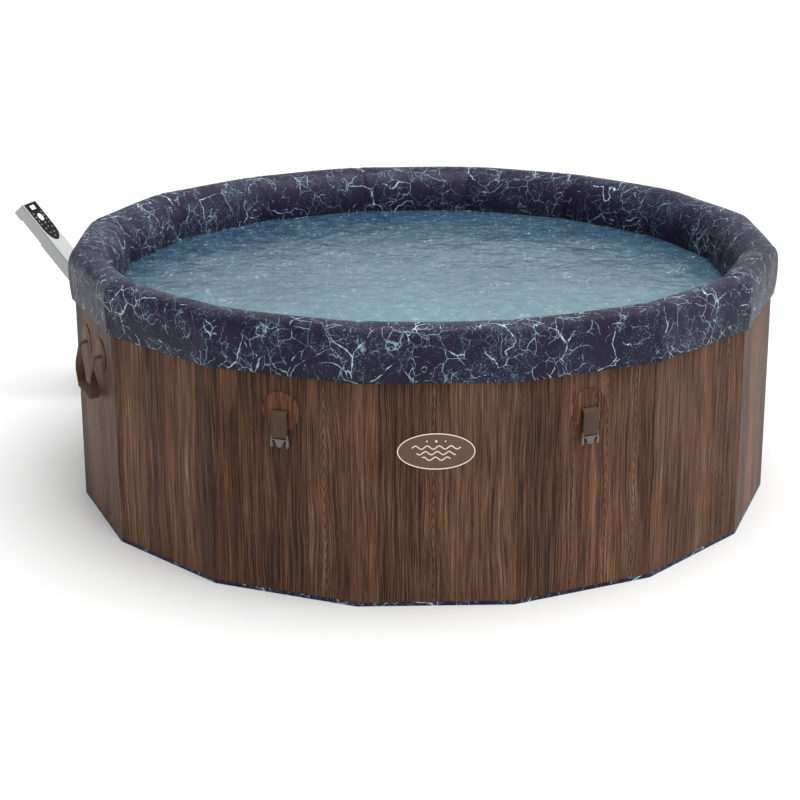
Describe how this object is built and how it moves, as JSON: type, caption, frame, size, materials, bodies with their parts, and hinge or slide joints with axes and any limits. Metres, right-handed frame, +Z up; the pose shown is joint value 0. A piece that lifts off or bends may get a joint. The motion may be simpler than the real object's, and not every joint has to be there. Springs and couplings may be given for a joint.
{
  "type": "inflatable hot tub",
  "caption": "Round faceted inflatable hot tub with a rolled marbled rim, wood-print walls, cover buckles, carry handles and a pump with a swivelling control arm.",
  "frame": {"origin": "on the floor under the middle of the tub, at the underside of the bottom sheet", "axes": "+Z up; -Y is the outward normal of the wall panel that carries the badge; +X to the right when facing the badge. The pump stands behind the tub at the back left (-X, +Y)."},
  "size_m": [2.2831, 2.0379, 0.705],
  "materials": {
    "marble_vinyl": "satin",
    "wood_vinyl": "satin",
    "air_cell": "satin",
    "badge_print": "satin",
    "fitting_plastic": "satin",
    "dark_plastic": "satin",
    "filter_paper": "matte",
    "webbing": "matte",
    "buckle_plastic": "satin",
    "pump_plastic": "satin",
    "arm_plastic": "satin",
    "panel_gloss": "gloss",
    "heater_steel": "satin",
    "circuit_board": "satin"
  },
  "bodies": {
    "root": {"bottom_sheet": "marble_vinyl", "wood_wrap": "wood_vinyl", "air_chamber": "air_cell", "inner_liner": "marble_vinyl", "top_cuff": "marble_vinyl", "airjet_ring": "marble_vinyl", "badge": "badge_print", "inlet_fitting": "fitting_plastic", "outlet_fitting": "fitting_plastic", "air_fitting": "fitting_plastic", "drain_valve": "dark_plastic", "inflation_valve": "dark_plastic", "buckle_patch_1": "wood_vinyl", "buckle_patch_2": "wood_vinyl", "buckle_patch_3": "wood_vinyl", "buckle_patch_4": "wood_vinyl", "buckle_patch_5": "wood_vinyl", "buckle_patch_6": "wood_vinyl", "handle_patch_left_1": "wood_vinyl", "handle_patch_right_1": "wood_vinyl", "handle_patch_left_2": "wood_vinyl", "handle_patch_right_2": "wood_vinyl", "pump_base": "dark_plastic", "pump_tub_side_shell": "pump_plastic", "pump_outer_shell": "pump_plastic", "arm_post": "pump_plastic", "circulation_pump": "dark_plastic", "blower_housing": "dark_plastic", "heater_tube": "heater_steel", "circuit_board": "circuit_board", "cable_gland": "dark_plastic"},
    "inlet_nut": {"inlet_union_nut": "dark_plastic"},
    "outlet_nut": {"outlet_union_nut": "dark_plastic"},
    "air_nut": {"air_union_nut": "dark_plastic"},
    "drain_cap": {"drain_valve_cap": "dark_plastic"},
    "inflation_cap": {"inflation_valve_cap": "dark_plastic"},
    "filter_unit": {"filter_housing": "fitting_plastic", "filter_cartridge": "filter_paper"},
    "buckle_1": {"buckle_strap_1": "webbing", "buckle_plug_1": "buckle_plastic"},
    "buckle_2": {"buckle_strap_2": "webbing", "buckle_plug_2": "buckle_plastic"},
    "buckle_3": {"buckle_strap_3": "webbing", "buckle_plug_3": "buckle_plastic"},
    "buckle_4": {"buckle_strap_4": "webbing", "buckle_plug_4": "buckle_plastic"},
    "buckle_5": {"buckle_strap_5": "webbing", "buckle_plug_5": "buckle_plastic"},
    "buckle_6": {"buckle_strap_6": "webbing", "buckle_plug_6": "buckle_plastic"},
    "handle_1": {"handle_webbing_1": "webbing", "handle_grip_1": "webbing"},
    "handle_2": {"handle_webbing_2": "webbing", "handle_grip_2": "webbing"},
    "impeller": {"pump_impeller": "fitting_plastic"},
    "fan": {"blower_fan": "fitting_plastic"},
    "arm": {"arm_collar": "pump_plastic", "arm_shell": "arm_plastic", "arm_cover": "arm_plastic", "control_panel": "panel_gloss"}
  },
  "joints": [
    {"name": "inlet_nut_turn", "type": "hinge", "parent": "root", "child": "inlet_nut", "pos_m": [-0.62379, 0.77935, 0.287], "axis": [-0.7071, 0.7071, 0], "continuous": true},
    {"name": "outlet_nut_turn", "type": "hinge", "parent": "root", "child": "outlet_nut", "pos_m": [-0.7348, 0.66834, 0.262], "axis": [-0.7071, 0.7071, 0], "continuous": true},
    {"name": "air_nut_turn", "type": "hinge", "parent": "root", "child": "air_nut", "pos_m": [-0.67611, 0.72703, 0.14], "axis": [-0.7071, 0.7071, 0], "continuous": true},
    {"name": "drain_cap_turn", "type": "hinge", "parent": "root", "child": "drain_cap", "pos_m": [0, 0.97113, 0.06], "axis": [0, 1, 0], "range_deg": [0, 270]},
    {"name": "inflation_cap_turn", "type": "hinge", "parent": "root", "child": "inflation_cap", "pos_m": [-0.89549, 0.37092, 0.24], "axis": [-0.9239, 0.3827, 0], "range_deg": [0, 270]},
    {"name": "filter_turn", "type": "hinge", "parent": "root", "child": "filter_unit", "pos_m": [-0.47247, 0.62803, 0.287], "axis": [0.7071, -0.7071, 0], "range_deg": [0, 90]},
    {"name": "buckle_swing_1", "type": "hinge", "parent": "root", "child": "buckle_1", "pos_m": [-0.36789, -0.88816, 0.477], "axis": [-0.9239, 0.3827, 0], "range_deg": [0, 80]},
    {"name": "buckle_swing_2", "type": "hinge", "parent": "root", "child": "buckle_2", "pos_m": [0.36789, -0.88816, 0.477], "axis": [-0.9239, -0.3827, 0], "range_deg": [0, 80]},
    {"name": "buckle_swing_3", "type": "hinge", "parent": "root", "child": "buckle_3", "pos_m": [-0.96134, 0, 0.477], "axis": [0, 1, 0], "range_deg": [0, 80]},
    {"name": "buckle_swing_4", "type": "hinge", "parent": "root", "child": "buckle_4", "pos_m": [0.96134, 0, 0.477], "axis": [0, -1, 0], "range_deg": [0, 80]},
    {"name": "buckle_swing_5", "type": "hinge", "parent": "root", "child": "buckle_5", "pos_m": [0.36789, 0.88816, 0.477], "axis": [0.9239, -0.3827, 0], "range_deg": [0, 80]},
    {"name": "buckle_swing_6", "type": "hinge", "parent": "root", "child": "buckle_6", "pos_m": [-0.36789, 0.88816, 0.477], "axis": [0.9239, 0.3827, 0], "range_deg": [0, 80]},
    {"name": "handle_swing_1", "type": "hinge", "parent": "root", "child": "handle_1", "pos_m": [-0.88844, -0.36801, 0.477], "axis": [-0.3827, 0.9239, 0], "range_deg": [0, 80]},
    {"name": "handle_swing_2", "type": "hinge", "parent": "root", "child": "handle_2", "pos_m": [0.88844, 0.36801, 0.477], "axis": [0.3827, -0.9239, 0], "range_deg": [0, 80]},
    {"name": "impeller_spin", "type": "hinge", "parent": "root", "child": "impeller", "pos_m": [-0.84511, 0.90168, 0.12], "axis": [-0.7071, -0.7071, 0], "continuous": true},
    {"name": "fan_spin", "type": "hinge", "parent": "root", "child": "fan", "pos_m": [-0.85218, 0.89461, 0.297], "axis": [0, 0, 1], "continuous": true},
    {"name": "arm_swivel", "type": "hinge", "parent": "root", "child": "arm", "pos_m": [-1.0052, 0.71614, 0.272], "axis": [0, 0, 1], "range_deg": [-40, 55]}
  ]
}
